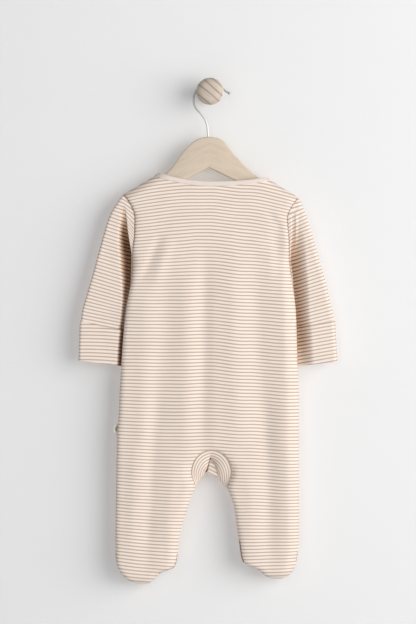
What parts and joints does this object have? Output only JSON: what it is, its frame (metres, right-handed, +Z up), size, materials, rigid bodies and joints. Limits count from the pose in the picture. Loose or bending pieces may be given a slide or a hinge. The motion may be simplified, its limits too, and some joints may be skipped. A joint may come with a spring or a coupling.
{
  "type": "footed baby sleepsuit on a wooden hanger and wall peg",
  "caption": "Striped jersey sleepsuit with feet and turned-back mitts, hanging back out on a small wooden hanger from a turned wall peg.",
  "frame": {"origin": "centre of the peg's flat back face, on the wall", "axes": "+Z up, +Y into the wall, +X along the wall to the right of someone who faces it; the suit's back faces -Y"},
  "size_m": [0.3425, 0.051, 0.6716],
  "materials": {
    "jersey": "matte",
    "binding": "matte",
    "ribbon": "satin",
    "popper": "satin",
    "wood": "satin",
    "steel": "polished"
  },
  "bodies": {
    "root": {"back": "jersey", "front_left": "jersey", "front_right": "jersey", "placket": "jersey", "gusset": "jersey", "sleeve_left": "jersey", "sleeve_right": "jersey", "cuff_left": "jersey", "cuff_right": "jersey", "foot_upper_left": "jersey", "foot_upper_right": "jersey", "neck_binding": "binding", "side_label": "ribbon", "popper_1": "popper", "popper_2": "popper", "popper_3": "popper", "popper_4": "popper", "popper_5": "popper", "popper_6": "popper", "hanger": "wood", "peg": "wood", "hook": "steel", "hook_tip": "steel"}
  },
  "joints": []
}
